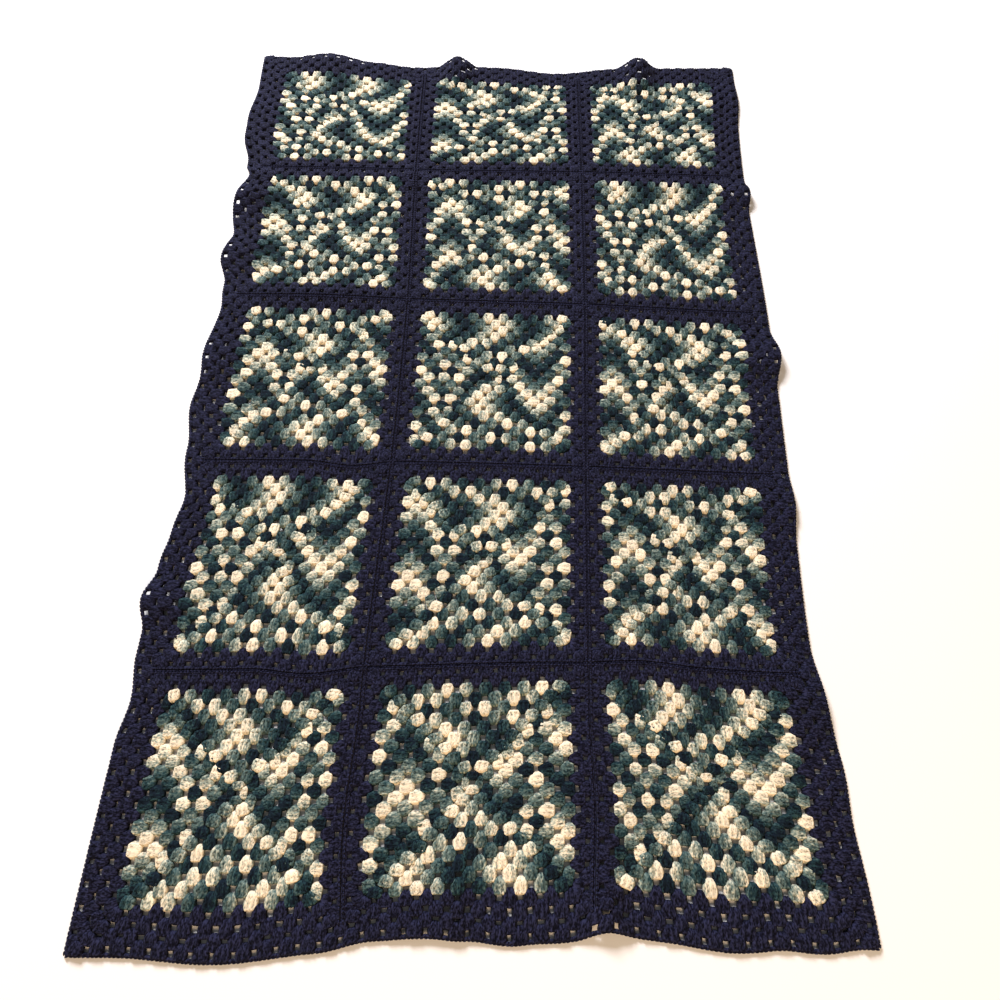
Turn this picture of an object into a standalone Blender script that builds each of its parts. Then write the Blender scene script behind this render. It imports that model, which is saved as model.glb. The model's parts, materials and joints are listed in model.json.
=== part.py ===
"""Granny square blanket, lying on a floor: fifteen crocheted squares, three across and five
up, inside a border of two rounds. Metres, +Z up, +Y towards the blanket's top edge."""

from math import cos, pi

import bmesh
import bpy
from mathutils import Vector

# Sizes of the blanket when it is flat
ROUND = 0.01375  # one round of clusters, from the centre outwards
ROUNDS = 12  # ten variegated and two navy
SIDE = 2 * ROUNDS * ROUND  # a square, 330 mm
COLUMNS = 3
ROWS = 5
BORDER = 2 * ROUND  # two more navy rounds all round
THICK = 0.005  # crocheted worsted yarn
GAP = 0.0003  # between neighbouring pieces
CELLS = 8  # grid cells along a square, each three rounds
CORNER_GAP = 0.0075  # the corner spaces of rounds 2, 5, 8 and 11
RING_GAP = 0.004  # half the ring that a square starts from
CORNER_ROUND = 0.012  # at the blanket's own corners

HALF = COLUMNS * SIDE / 2
TOP = ROWS * SIDE

# How the joined squares really lie, in millimetres: how far each crossing is from its flat
# place. A row for each cross line from the bottom up; left, seam 1, seam 2, right.
# row_line: (x_left, x_seam1, x_seam2, x_right, y_left, y_seam1, y_seam2, y_right)
SHIFTS = (
    (3, 0, 0, 12, -34, -19, 12, 3),
    (8, -4, -1, -21, -25, -11, 5, -3),
    (15, 6, 1, -18, -4, 2, 2, -3),
    (15, 7, 5, -15, 12, 11, 9, -1),
    (8, -2, 4, -23, 8, 7, 13, 10),
    (-8, -5, 0, -15, -10, -28, -29, -17),
)

# Where the cloth is pulled aside between the crossings, in millimetres: (flat x, flat y,
# reach, how far in x, how far in y).
PULLS = (
    (-165, 120, 150, -8, 0),
    (165, 130, 130, 5, 0),
    (-250, 330, 95, 0, -9),
    (250, 330, 100, 0, 5),
    (-232, 660, 85, 0, -9),
)

# Waves of the outer edge, in millimetres: (side, place along it, half its length, how far
# it swings out, how high it lifts). Places are flat ones, from the middle or the bottom.
EDGE_WAVES = (
    ("left", 1460, 120, 13, 3),
    ("left", 1290, 34, -12, 10),
    ("left", 1232, 60, -2, 20),
    ("left", 1085, 62, 7, 14),
    ("left", 962, 40, -4, 0),
    ("left", 860, 80, 7, 8),
    ("left", 580, 95, -17, 0),
    ("left", 432, 48, 9, 12),
    ("left", 290, 62, -8, 0),
    ("right", 1560, 90, 4, 3),
    ("right", 1270, 44, 4, 13),
    ("right", 895, 66, 9, 14),
    ("right", 606, 66, 3, 6),
    ("right", 296, 80, 6, 8),
    ("top", -372, 92, 9, 8),
    ("top", -190, 90, -9, 0),
    ("top", -94, 46, 0, 24),
    ("top", 118, 130, -16, 0),
    ("top", 300, 54, 2, 25),
    ("bottom", -325, 140, 9, 0),
    ("bottom", -60, 62, -8, 3),
    ("bottom", 66, 74, 11, 0),
    ("bottom", 182, 40, -3, 9),
    ("bottom", 352, 100, 12, 0),
)
WAVE_DEPTH = 0.11  # how far in from the edge a wave reaches

# Soft ridges away from the edge, in millimetres: (x, y of the middle, half length, half
# width, height), the first three lying across the blanket and the others up it.
CROSS_RIDGES = (
    (-250, 1292, 330, 52, 7),
    (330, 1284, 260, 46, 6),
    (-330, 1000, 190, 44, 6),
)
LONG_RIDGES = (
    (-18, 40, 110, 34, 7),
    (182, 50, 120, 34, 6),
    (-330, 520, 150, 46, 5),
    (300, 850, 150, 44, 5),
)

NAVY = (0.018, 0.018, 0.052, 1.0)
TEAL_MIX = (0.16, 0.23, 0.20, 1.0)


def hump(distance, reach):
    """A smooth rise that is 1 in the middle and 0 from reach on."""
    return 0.5 + 0.5 * cos(pi * min(abs(distance) / reach, 1.0))


def spline(values, at):
    """A smooth curve through evenly placed values, carried on straight past its ends."""
    last = len(values) - 1
    if at <= 0 or at >= last:
        edge, inner = (0, 1) if at <= 0 else (last, last - 1)
        slope = (values[edge] - values[inner]) * (edge - inner)
        return values[edge] + slope * (at - edge) * 0.5
    i = min(int(at), last - 1)
    t = at - i
    before = values[max(i - 1, 0)]
    after = values[min(i + 2, last)]
    a, b = values[i], values[i + 1]
    return 0.5 * (
        2 * a
        + (b - before) * t
        + (2 * before - 5 * a + 4 * b - after) * t * t
        + (3 * a - before - 3 * b + after) * t * t * t
    )


def shift_at(first, u, v):
    """The shift of a flat place, from the columns of SHIFTS that start at first."""
    across = (u + HALF) / SIDE
    lines = [spline(row[first : first + 4], across) for row in SHIFTS]
    return spline(lines, v / SIDE) / 1000


def edge_wave(u, v):
    """(x, y, z) that the waves of the outer edge add at a flat place."""
    edges = {
        "left": (v, u + HALF + BORDER, (-1, 0)),
        "right": (v, HALF + BORDER - u, (1, 0)),
        "top": (u, TOP + BORDER - v, (0, 1)),
        "bottom": (u, v + BORDER, (0, -1)),
    }
    x = y = z = 0.0
    for side, place, reach, out, lift in EDGE_WAVES:
        along, inward, heading = edges[side]
        near = hump(along - place / 1000, reach / 1000) * hump(inward, WAVE_DEPTH)
        x += heading[0] * near * out / 1000
        y += heading[1] * near * out / 1000
        z += near * lift / 1000
    return x, y, z


def lie(u, v, up):
    """Where a place of the flat blanket lies on the floor, up being its height in the cloth."""
    x, y, z = edge_wave(u, v)
    for mid_u, mid_v, reach, pull_x, pull_y in PULLS:
        distance = ((u - mid_u / 1000) ** 2 + (v - mid_v / 1000) ** 2) ** 0.5
        near = hump(distance, reach / 1000) / 1000
        x += near * pull_x
        y += near * pull_y
    for mid_u, mid_v, length, width, height in CROSS_RIDGES:
        along = hump(u - mid_u / 1000, length / 1000)
        z += along * hump(v - mid_v / 1000, width / 1000) * height / 1000
    for mid_u, mid_v, length, width, height in LONG_RIDGES:
        along = hump(v - mid_v / 1000, length / 1000)
        z += along * hump(u - mid_u / 1000, width / 1000) * height / 1000
    return Vector((u + shift_at(0, u, v) + x, v + shift_at(4, u, v) + y, z + up))


def flat_sheet(left, right, bottom, top, across, up):
    """An open grid of the cloth's underside, between four flat edges."""
    bm = bmesh.new()
    bmesh.ops.create_grid(bm, x_segments=across, y_segments=up, size=0.5)
    for vert in bm.verts:
        vert.co.x = left + (right - left) * (vert.co.x + 0.5)
        vert.co.y = bottom + (top - bottom) * (vert.co.y + 0.5)
    return bm


def cut_gaps(bm, middle_u, middle_v):
    """Cuts the corner spaces along both diagonals of a square, and its centre ring."""
    cell = SIDE / CELLS
    diagonal = []
    for face in bm.faces:
        centre = face.calc_center_median()
        if abs(abs(centre.x - middle_u) - abs(centre.y - middle_v)) < cell / 4:
            diagonal.append(face)
    margin = (cell - CORNER_GAP) / 2
    bmesh.ops.inset_individual(
        bm, faces=diagonal, thickness=margin, use_even_offset=True
    )
    bmesh.ops.delete(bm, geom=diagonal, context="FACES")
    middle = Vector((middle_u, middle_v, 0))
    hub = min(bm.verts, key=lambda vert: (vert.co - middle).length)
    ring = bmesh.ops.bevel(bm, geom=[hub], offset=RING_GAP, affect="VERTICES")
    bmesh.ops.delete(bm, geom=ring["faces"], context="FACES")


def halve_outer_edges(bm):
    """Adds a point to each cell's side along the border, to match the border's points."""
    outer = []
    for edge in bm.edges:
        middle = (edge.verts[0].co + edge.verts[1].co) / 2
        at_side = min(abs(middle.x - HALF), abs(middle.x + HALF)) < 2 * GAP
        at_end = min(abs(middle.y), abs(middle.y - TOP)) < 2 * GAP
        if len(edge.link_faces) == 1 and (at_side or at_end):
            outer.append(edge)
    if outer:
        bmesh.ops.subdivide_edges(bm, edges=outer, cuts=1)


def make_piece(name, bm, material, collection):
    """Thickens a flat sheet, then lays it on the floor as the blanket lies."""
    mesh = bpy.data.meshes.new(name)
    bm.to_mesh(mesh)
    bm.free()
    piece = bpy.data.objects.new(name, mesh)
    collection.objects.link(piece)
    solidify = piece.modifiers.new("Thickness", "SOLIDIFY")
    solidify.thickness = THICK
    solidify.offset = 1.0
    bpy.context.view_layer.update()
    evaluated = piece.evaluated_get(bpy.context.evaluated_depsgraph_get())
    solid = bpy.data.meshes.new_from_object(evaluated)
    piece.modifiers.clear()
    piece.data = solid
    bpy.data.meshes.remove(mesh)
    solid.name = name
    for vert in solid.vertices:
        vert.co = lie(*vert.co)
    solid.shade_smooth()
    solid.set_sharp_from_angle(angle=0.9)
    solid.materials.append(material)
    return piece


def yarn(name, colour):
    material = bpy.data.materials.new(name)
    material.use_nodes = True
    shader = material.node_tree.nodes["Principled BSDF"]
    shader.inputs["Base Color"].default_value = colour
    shader.inputs["Roughness"].default_value = 0.9
    shader.inputs["Metallic"].default_value = 0.0
    return material


def centre_on_floor(pieces):
    """Moves every mesh so that the blanket's box stands centred on the origin."""
    places = [vert.co for piece in pieces for vert in piece.data.vertices]
    low = Vector([min(place[axis] for place in places) for axis in range(3)])
    high = Vector([max(place[axis] for place in places) for axis in range(3)])
    move = Vector((-(low.x + high.x) / 2, -(low.y + high.y) / 2, -low.z))
    for piece in pieces:
        for vert in piece.data.vertices:
            vert.co += move
    print("moved by", [round(axis, 5) for axis in move])


def make_squares(material, collection):
    pieces = []
    for row in range(ROWS):
        for column in range(COLUMNS):
            left = -HALF + column * SIDE
            bottom = TOP - (row + 1) * SIDE
            right, top = left + SIDE, bottom + SIDE
            trim = GAP / 2
            edges = (left + trim, right - trim, bottom + trim, top - trim)
            bm = flat_sheet(*edges, CELLS, CELLS)
            cut_gaps(bm, left + SIDE / 2, bottom + SIDE / 2)
            halve_outer_edges(bm)
            name = f"square_r{row + 1}_c{column + 1}"
            pieces.append(make_piece(name, bm, material, collection))
    return pieces


def end_strip(bottom, top, outer):
    """A strip past the squares' top or bottom, with a rounded corner cell at each end."""
    inner = HALF - GAP / 2
    bm = flat_sheet(-inner, inner, bottom, top, 2 * CELLS * COLUMNS, 1)
    for side in (-1, 1):
        end = [
            edge
            for edge in bm.edges
            if all(abs(vert.co.x - side * inner) < GAP for vert in edge.verts)
        ]
        made = bmesh.ops.extrude_edge_only(bm, edges=end)["geom"]
        for vert in made:
            if isinstance(vert, bmesh.types.BMVert):
                vert.co.x = side * (HALF + BORDER)
    corners = [
        vert
        for vert in bm.verts
        if abs(vert.co.x) > HALF + GAP and abs(vert.co.y - outer) < GAP
    ]
    bmesh.ops.bevel(
        bm, geom=corners, offset=CORNER_ROUND, segments=3, profile=0.5, affect="VERTICES"
    )
    bmesh.ops.recalc_face_normals(bm, faces=bm.faces)
    return bm


def make_border(material, collection):
    """Four strips: the side ones run the squares' height, the end ones the full width."""
    inner, out = HALF + GAP / 2, HALF + BORDER
    rise = (GAP / 2, TOP - GAP / 2, 1, 2 * CELLS * ROWS)
    strips = {
        "border_top": end_strip(TOP + GAP / 2, TOP + BORDER, TOP + BORDER),
        "border_bottom": end_strip(-BORDER, -GAP / 2, -BORDER),
        "border_left": flat_sheet(-out, -inner, *rise),
        "border_right": flat_sheet(inner, out, *rise),
    }
    return [make_piece(name, bm, material, collection) for name, bm in strips.items()]


def main():
    for obj in list(bpy.data.objects):
        bpy.data.objects.remove(obj, do_unlink=True)
    collection = bpy.data.collections.new("Granny square blanket")
    bpy.context.scene.collection.children.link(collection)
    squares = make_squares(yarn("Variegated and navy yarn", TEAL_MIX), collection)
    border = make_border(yarn("Navy yarn", NAVY), collection)
    centre_on_floor(squares + border)


main()
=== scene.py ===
"""Granny square blanket: crochets every cluster of stitches, seam and border round over the
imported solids, in the drape in which they lie, and sets the floor, the lights and the camera.

It is laid out as a Blender add-on and is run as a script. Metres, +Z up, +Y towards the
blanket's top edge. Flat places on the blanket are (u, v): u from its middle, v from the lower
edge of the squares."""

import json
import math
import bpy
import numpy as np
from bpy.props import FloatProperty, FloatVectorProperty, IntProperty, PointerProperty
from mathutils import Matrix, Vector

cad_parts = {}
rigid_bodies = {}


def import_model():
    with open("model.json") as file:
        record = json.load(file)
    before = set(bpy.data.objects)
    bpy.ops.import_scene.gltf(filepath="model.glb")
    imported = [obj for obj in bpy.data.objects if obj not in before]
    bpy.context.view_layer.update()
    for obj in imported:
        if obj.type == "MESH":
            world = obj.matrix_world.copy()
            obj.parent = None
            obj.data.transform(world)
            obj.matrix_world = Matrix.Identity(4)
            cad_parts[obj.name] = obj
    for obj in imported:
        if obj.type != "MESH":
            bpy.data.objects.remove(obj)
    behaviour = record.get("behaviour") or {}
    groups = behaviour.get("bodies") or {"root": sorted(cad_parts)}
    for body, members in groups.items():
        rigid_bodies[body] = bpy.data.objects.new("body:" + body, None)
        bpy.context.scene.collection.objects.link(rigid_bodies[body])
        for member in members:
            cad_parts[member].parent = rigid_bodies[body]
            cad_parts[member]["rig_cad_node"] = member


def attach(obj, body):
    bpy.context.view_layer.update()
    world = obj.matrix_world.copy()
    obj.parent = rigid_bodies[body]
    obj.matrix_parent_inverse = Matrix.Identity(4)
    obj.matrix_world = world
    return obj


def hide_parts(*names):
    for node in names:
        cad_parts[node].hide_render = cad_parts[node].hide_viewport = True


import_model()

bl_info = {
    "name": "Granny Square Blanket",
    "version": (1, 0, 0),
    "blender": (4, 5, 0),
    "location": "3D View > Sidebar > Blanket",
    "description": "Crochets a granny square blanket over its solids",
    "category": "Object",
}

# ---------------------------------------------------------------- sizes, as in the solids
ROUND = 0.01375  # one round of clusters
ROUNDS = 12  # ten variegated and two navy
YARN_ROUNDS = 10
SIDE = 2 * ROUNDS * ROUND
COLUMNS = 3
ROWS = 5
BORDER_ROUNDS = 2
BORDER = BORDER_ROUNDS * ROUND
PITCH = 2 * ROUND  # from one cluster to the next along a round
HALF = COLUMNS * SIDE / 2
TOP = ROWS * SIDE
TO_FRAME = (-0.00065, -0.8021, 0.0)  # from the flat layout's origin to the frame's

# How the joined squares lie, in millimetres: a row for each cross line from the bottom up,
# x at the left edge, seam 1, seam 2 and right edge, then y at the same four.
SHIFTS = (
    (3, 0, 0, 12, -34, -19, 12, 3),
    (8, -4, -1, -21, -25, -11, 5, -3),
    (15, 6, 1, -18, -4, 2, 2, -3),
    (15, 7, 5, -15, 12, 11, 9, -1),
    (8, -2, 4, -23, 8, 7, 13, 10),
    (-8, -5, 0, -15, -10, -28, -29, -17),
)
# Where the cloth is pulled aside: flat x, flat y, reach, how far in x, how far in y
PULLS = (
    (-165, 120, 150, -8, 0),
    (165, 130, 130, 5, 0),
    (-250, 330, 95, 0, -9),
    (250, 330, 100, 0, 5),
    (-232, 660, 85, 0, -9),
)
# Waves of the outer edge: side, place along it, half its length, swing outwards, lift
EDGE_WAVES = (
    ("left", 1460, 120, 13, 3),
    ("left", 1290, 34, -12, 10),
    ("left", 1232, 60, -2, 20),
    ("left", 1085, 62, 7, 14),
    ("left", 962, 40, -4, 0),
    ("left", 860, 80, 7, 8),
    ("left", 580, 95, -17, 0),
    ("left", 432, 48, 9, 12),
    ("left", 290, 62, -8, 0),
    ("right", 1560, 90, 4, 3),
    ("right", 1270, 44, 4, 13),
    ("right", 895, 66, 9, 14),
    ("right", 606, 66, 3, 6),
    ("right", 296, 80, 6, 8),
    ("top", -372, 92, 9, 8),
    ("top", -190, 90, -9, 0),
    ("top", -94, 46, 0, 24),
    ("top", 118, 130, -16, 0),
    ("top", 300, 54, 2, 25),
    ("bottom", -325, 140, 9, 0),
    ("bottom", -60, 62, -8, 3),
    ("bottom", 66, 74, 11, 0),
    ("bottom", 182, 40, -3, 9),
    ("bottom", 352, 100, 12, 0),
    # finer waves of the rim's stitches, which the solids leave out
    ("left", 1395, 60, 7, 0),
    ("left", 1195, 70, 10, 0),
    ("left", 1060, 40, 6, 0),
    ("left", 760, 75, 12, 0),
    ("left", 560, 45, 6, 0),
    ("right", 205, 100, 9, 0),
    ("bottom", -125, 75, -10, 0),
    ("bottom", 132, 60, 10, 0),
    ("bottom", 270, 120, 9, 0),
    ("bottom", 446, 60, 8, 0),
)
WAVE_DEPTH = 0.11  # how far in from the edge a wave fades out
# Soft ridges: x, y of the middle, half length, half width, height
CROSS_RIDGES = (
    (-250, 1292, 330, 52, 7),
    (330, 1284, 260, 46, 6),
    (-330, 1000, 190, 44, 6),
)
LONG_RIDGES = (
    (-18, 40, 110, 34, 7),
    (182, 50, 120, 34, 6),
    (-330, 520, 150, 46, 5),
    (300, 850, 150, 44, 5),
)

# ---------------------------------------------------------------- how the yarn was worked
DYE_REPEAT = 4.6  # clusters worked from one repeat of the dye
BALL_CHANGE = 0.17  # how many more or fewer they are in the two other kinds of ball
START_STEP = 0.38  # share of a repeat from one square's start to the next square's
JOIN_SHARE = -0.1  # share of a repeat that each round's join takes back
CORNER_YARN = 0.1  # yarn used at a corner, in clusters
# The four sides of a round in the order of working, anticlockwise from the top left corner:
# outward direction, working direction and the turn that takes +y outwards
WORKED_SIDES = (
    ((-1, 0), (0, -1), math.pi / 2),
    ((0, -1), (1, 0), math.pi),
    ((1, 0), (0, 1), -math.pi / 2),
    ((0, 1), (-1, 0), 0.0),
)
SIDE_NAMES = ("left", "bottom", "right", "top")
UPRIGHT_SIDES = (0, 2)
SQUARES = [(row, column) for row in range(ROWS) for column in range(COLUMNS)]
POST_STEP = 0.8  # clusters' worth of dye from one edge of a cluster to the other
SEED_STEP, TINT_TURN = 3.7, 7.31  # set a stitch's patterns and brightness apart from the next's

EDGE_SET = 0.0038  # top loops of a square's last round stand this far inside a seam's line
RIM_SET = 0.0020  # and those of the border's last round this far inside the rim
OVER_EDGE = 0.0010  # those of other rounds reach this far past their round's edge
CORNER_LEAN = 0.20  # how far a side's end clusters turn into the corner space, in radians
CORNER_LIFT = 0.0011  # the end clusters of every other side lie over their neighbours
# Width, length and thickness of clusters in some places, as shares of the others'
PLAIN = (1.0, 1.0, 1.0)
CENTRE_STRETCH = (0.96, 0.58, 0.9)
CORNER_STRETCH = (1.04, 0.83, 1.0)
LAST_STRETCH = (1.06, 0.79, 1.0)
RIM_STRETCH = (1.05, 0.97, 1.0)

RIM_CHAIN_IN = 0.0030  # from the rim to the middle of the strand of chain along it
CHAIN_HEIGHT = 0.0028  # of that strand over the floor's side of the cloth
RIM_IN = 0.0004  # from the rim to the middle of its loops
RIM_CORNER = 0.004  # the rim's loops stop this far before a corner
RIM_HEIGHT = 0.0008  # of their undersides
RIM_THICKNESS = 1.1  # of the rim's loops, as a share of their width
# How high a seam's two rows of loops and the strand in the groove between them lie. The
# seams that run up the blanket stand out more than those across it.
UP_HEIGHTS = (0.0060, 0.0038)
ACROSS_HEIGHTS = (0.0052, 0.0048)
CHAIN_IN = 0.0043  # from a seam's middle to the strand of chain on either side of it
STRAND_HEIGHT = 0.0042
# What is added to the seed for each kind of piece, so that no two pieces are worked alike
NAVY_DRAWS, BORDER_DRAWS, RIM_DRAWS, SEAM_DRAWS = 100, 200, 220, 300

# A cluster of three double crochets, from its base to its top loops: place along it, half
# width, middle height, half thickness and how deep the posts are parted, as shares of its
# length, width and thickness.
CLUSTER_RINGS = (
    (0.00, 0.25, 0.26, 0.14, 0.00),
    (0.09, 0.36, 0.46, 0.26, 0.04),
    (0.25, 0.45, 0.54, 0.34, 0.10),
    (0.43, 0.48, 0.54, 0.40, 0.20),
    (0.62, 0.50, 0.52, 0.44, 0.28),
    (0.80, 0.50, 0.48, 0.42, 0.34),
    (0.92, 0.48, 0.48, 0.40, 0.08),
    (1.00, 0.39, 0.40, 0.26, 0.00),
)
POST_PLACES = (-1.0, -0.66, -0.33, 0.0, 0.33, 0.66, 1.0)  # edge, post, valley, post ...
UNDER_PLACES = (0.85, -0.85)
SIDE_DROP = 0.30  # the outline lies this far under the middle, as a share of half thickness
POST_AHEAD = 0.02  # posts reach this much further along than the valleys between them
# How much one cluster differs from another, as shares: lean, posts, valleys, width, length
LEAN_DRAW, POST_DRAW, VALLEY_DRAW, WIDTH_DRAW, LENGTH_DRAW = 0.02, 0.10, 0.3, 0.04, 0.012
# How light a cluster's outline and its two ends are painted, as shares, lower values being
# darker painted shade, and how much of that painted lightness a valley loses with its depth, so
# that the valleys between posts get painted shade
RIM_PAINTED_LIGHTNESS, END_PAINTED_LIGHTNESS, VALLEY_PAINTED_SHADE = 0.36, 0.6, 2.4
VARIANTS, CLUSTER_SEED = 5, 40
# A loop of the chain that edges a round: place along, half width, middle height, half thickness
LOOP_RINGS = (
    (0.00, 0.14, 0.30, 0.14),
    (0.28, 0.46, 0.52, 0.42),
    (0.72, 0.42, 0.60, 0.40),
    (1.06, 0.12, 0.50, 0.14),
)
LOOP_PAINTED_LIGHTNESS = (0.9, 1.0, 1.0, 0.5, 0.5)  # painted lightness of the points round a loop, from one side over its top; its lower sides get painted shade
LOOP_DRAW = 0.05
LOOP_VARIANTS, LOOP_SEED = 3, 90

# Patterns on a stitch: repeats to a metre across and along it, and their detail
FIBRES = ((900.0, 320.0, 1.0), 3.0)  # tufts of fibre, 1.1 by 3.1 mm
MOTTLES = ((430.0, 230.0, 1.0), 1.5)  # lengths of another colour, 2.3 by 4.3 mm
PAINTED_PLY_LIGHT = ((480.0, 220.0, 1.0), 2.0)  # painted highlights of plies that turn to the light, 2.1 by 4.5 mm
LOOP_CELLS = (1.1, 0.65)  # small loops in one loop spacing, across and along
LOOP_RANDOMNESS = 0.85
# painted shade in the hollows between a stitch's small loops: dark near each loop cell's middle,
# full colour towards its edge
PAINTED_HOLLOW_STOPS = ((0.14, (0.12, 0.12, 0.12)), (0.46, (1.0, 1.0, 1.0)))
PALE_DEPTH = 0.38  # how deep the painted shade in the hollows of the palest yarn is beside the darkest's
DARKEST_PAINTED_SHADE = 0.12  # painted shade: how bright the lowest places between stitches are painted
BUMP = {"Strength": 0.6, "Distance": 0.0009}
YARN_FINISH = {
    "Roughness": 0.88,
    "IOR": 1.48,
    "Specular IOR Level": 0.06,
    "Sheen Weight": 0.02,
    "Sheen Roughness": 0.5,
}
# Where the colours lie along one repeat of the dye
DYE_STOPS = (
    (0.00, "cream"), (0.07, "cream"), (0.13, "sage"), (0.23, "grey_green"),
    (0.36, "teal"), (0.47, "deep_teal"), (0.53, "deep_teal"), (0.64, "teal"),
    (0.77, "grey_green"), (0.87, "sage"), (0.93, "cream"),
)
MOTTLE_REACH = 0.38  # share of a repeat over which the colours of one place can spread
DULLEST = 0.84  # brightness of the dullest stitch beside the brightest
PAINTED_PLY_STOPS = (0.40, 0.60)  # where the painted shade between plies ends and their painted highlight begins
MULTIPLY = {"data_type": "RGBA", "blend_type": "MULTIPLY"}

# The phone that took the photograph: place, then pitch below level, turn and roll in radians
CAMERA_PLACE = (0.03505, -0.7063, 1.1263)
CAMERA_PITCH, CAMERA_TURN, CAMERA_ROLL = 1.1494, 0.0226, 0.0069
CAMERA_LENS, CAMERA_SENSOR = 27.0, 36.0
CAMERA_CLIP = (0.01, 50.0)
# Soft boxes: name, place, what they look at, width, watts and colour
LIGHTS = (
    ("key_soft_box", (-1.9, 3.6, 2.8), (0.0, 0.0, 0.0), 1.8, 640.0, "#F3F4FF"),
    ("fill_soft_box", (0.6, -3.4, 1.9), (0.0, -0.5, 0.0), 1.4, 124.0, "#FFDFBA"),
)
ROOM_COLOUR, ROOM_STRENGTH = "#EEF0F4", 0.19
FLOOR_REACH = 6.0
FLOOR_FINISH = {"Roughness": 0.9, "Specular IOR Level": 0.2}


def from_hex(text):
    """The linear colour of an sRGB hex value."""
    parts = [int(text[i : i + 2], 16) / 255 for i in (1, 3, 5)]
    return tuple(
        c / 12.92 if c <= 0.04045 else ((c + 0.055) / 1.055) ** 2.4 for c in parts
    )


# ---------------------------------------------------------------- drape
def hump(distance, reach):
    """A smooth rise that is 1 in the middle and 0 from reach on."""
    return 0.5 + 0.5 * np.cos(np.pi * np.minimum(np.abs(distance) / reach, 1.0))


def spline(values, at):
    """A smooth curve through evenly placed rows of values, read at each place in at, and
    carried on straight past its ends."""
    last = len(values) - 1
    i = np.clip(at.astype(int), 0, last - 1)
    t = at - i
    column = np.arange(at.size)
    before, a, b, after = (
        values[np.clip(i + step, 0, last), column] for step in (-1, 0, 1, 2)
    )
    inside = 0.5 * (
        2 * a
        + (b - before) * t
        + (2 * before - 5 * a + 4 * b - after) * t * t
        + (3 * a - before - 3 * b + after) * t * t * t
    )
    first = values[0] + (values[1] - values[0]) * at * 0.5
    end = values[last] + (values[last] - values[last - 1]) * (at - last) * 0.5
    return np.where(at <= 0, first, np.where(at >= last, end, inside))


def shift_at(first, u, v):
    """The shift of flat places, from the columns of SHIFTS that start at first."""
    lines = []
    for row in SHIFTS:
        four = np.repeat(np.array(row[first : first + 4], float)[:, None], u.size, 1)
        lines.append(spline(four, (u + HALF) / SIDE))
    return spline(np.array(lines), v / SIDE) / 1000


def lie(u, v, up):
    """Where flat places of the blanket lie in the frame, up being their height in the cloth."""
    x, y, z = u + shift_at(0, u, v), v + shift_at(4, u, v), up.copy()
    edges = {
        "left": (v, u + HALF + BORDER, (-1, 0)),
        "right": (v, HALF + BORDER - u, (1, 0)),
        "top": (u, TOP + BORDER - v, (0, 1)),
        "bottom": (u, v + BORDER, (0, -1)),
    }
    for side, place, reach, out, lift in EDGE_WAVES:
        along, inward, heading = edges[side]
        near = hump(along - place / 1000, reach / 1000) * hump(inward, WAVE_DEPTH)
        x += heading[0] * near * out / 1000
        y += heading[1] * near * out / 1000
        z += near * lift / 1000
    for mid_u, mid_v, reach, pull_x, pull_y in PULLS:
        near = hump(np.hypot(u - mid_u / 1000, v - mid_v / 1000), reach / 1000) / 1000
        x += near * pull_x
        y += near * pull_y
    for mid_u, mid_v, length, width, height in CROSS_RIDGES:
        along = hump(u - mid_u / 1000, length / 1000)
        z += along * hump(v - mid_v / 1000, width / 1000) * height / 1000
    for mid_u, mid_v, length, width, height in LONG_RIDGES:
        along = hump(v - mid_v / 1000, length / 1000)
        z += along * hump(u - mid_u / 1000, width / 1000) * height / 1000
    return np.stack([x, y, z], 1) + np.array(TO_FRAME)


# ---------------------------------------------------------------- node helpers
def add_node(tree, kind, inputs=None, **settings):
    """Adds a node with its settings. Its inputs, by name or number, are given values, other
    sockets or nodes, which stand for their first output."""
    node = tree.nodes.new(kind)
    for key, value in settings.items():
        setattr(node, key, value)
    for key, value in (inputs or {}).items():
        if isinstance(value, bpy.types.Node):
            value = value.outputs[0]
        if isinstance(value, bpy.types.NodeSocket):
            tree.links.new(value, node.inputs[key])
        else:
            node.inputs[key].default_value = value
    return node


def set_ramp(node, stops):
    """Puts (place, linear colour) stops on a Color Ramp node."""
    elements = node.color_ramp.elements
    while len(elements) > 1:
        elements.remove(elements[-1])
    elements[0].position, elements[0].color = stops[0][0], (*stops[0][1], 1.0)
    for place, colour in stops[1:]:
        elements.new(place).color = (*colour, 1.0)


# ---------------------------------------------------------------- stitch shapes
def ring_mesh(name, rings, shade_paint_levels):
    """A closed tube through rings of points, with the place along and across on each, and how
    light each point is painted, low values taking painted shade."""
    count = len(rings[0])
    points = [point for ring in rings for point in ring]
    faces = [tuple(range(count))[::-1]]
    for r in range(len(rings) - 1):
        for k in range(count):
            near, far = r * count, (r + 1) * count
            after = (k + 1) % count
            faces.append((near + k, near + after, far + after, far + k))
    faces.append(tuple(range((len(rings) - 1) * count, len(rings) * count)))
    mesh = bpy.data.meshes.new(name)
    mesh.from_pydata(points, [], faces)
    mesh.update()
    across, along, _ = np.array(points).T
    for label, values in (("across", across), ("along", along), ("crest", shade_paint_levels)):
        write_floats(mesh, label, values)
    mesh.polygons.foreach_set("use_smooth", [True] * len(mesh.polygons))
    return bpy.data.objects.new(name, mesh)


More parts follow.
